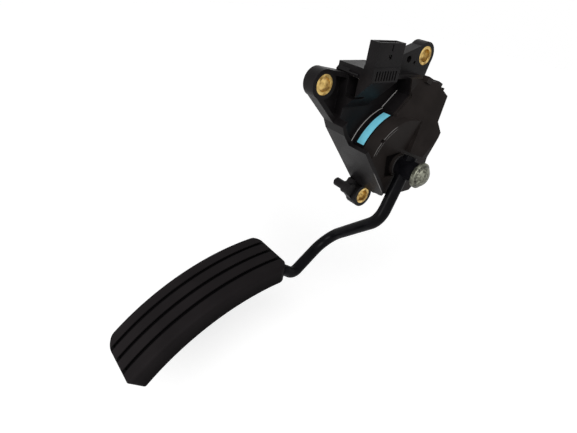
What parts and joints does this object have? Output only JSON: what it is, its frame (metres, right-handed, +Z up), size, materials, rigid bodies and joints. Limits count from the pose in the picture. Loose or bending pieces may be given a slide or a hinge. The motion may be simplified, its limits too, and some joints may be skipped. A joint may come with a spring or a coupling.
{
  "type": "accelerator pedal sensor",
  "caption": "Hanging accelerator pedal with its position sensor housing, bent steel lever, grooved pad and brass-sleeved mounting lugs.",
  "frame": {"origin": "axis of the lower bolt hole, on the mounting plane behind the housing", "axes": "+X along the pivot and the bolts, away from the mounting plane; +Y forward, away from the driver; +Z up, the way the connector opens"},
  "size_m": [0.088, 0.1977, 0.2054],
  "materials": {
    "black_plastic": "matt",
    "pad_plastic": "satin",
    "light_plastic": "matt",
    "board": "satin",
    "friction_lining": "matt",
    "rubber": "matt",
    "brass": "satin",
    "spring_steel": "satin",
    "black_paint": "satin",
    "zinc": "satin",
    "label_blue": "satin"
  },
  "bodies": {
    "housing": {"housing": "black_plastic", "front_cover": "black_plastic", "rear_cover": "black_plastic", "cover_seal": "rubber", "limiter_left": "brass", "limiter_right": "brass", "limiter_lower": "brass", "colour_label": "label_blue", "connector_pins": "brass", "circuit_board": "board", "front_bush": "brass", "rear_bush": "brass", "friction_disc": "friction_lining", "end_stop": "rubber", "outer_spring": "spring_steel", "inner_spring": "spring_steel"},
    "pedal": {"pivot_axle": "spring_steel", "spring_hub": "light_plastic", "wiper_carrier": "light_plastic", "wiper_contacts": "brass", "thrust_washer": "spring_steel", "lever_hub": "black_paint", "lever_rod": "black_paint", "axle_cap": "zinc", "pedal_pad": "pad_plastic"}
  },
  "joints": [
    {"name": "pedal_pivot", "type": "hinge", "parent": "housing", "child": "pedal", "pos_m": [0.0312, 0.004, 0.03], "axis": [1, 0, 0], "range_deg": [0, 18], "stiffness_Nm_per_rad": 6, "springref_deg": -19.48}
  ]
}
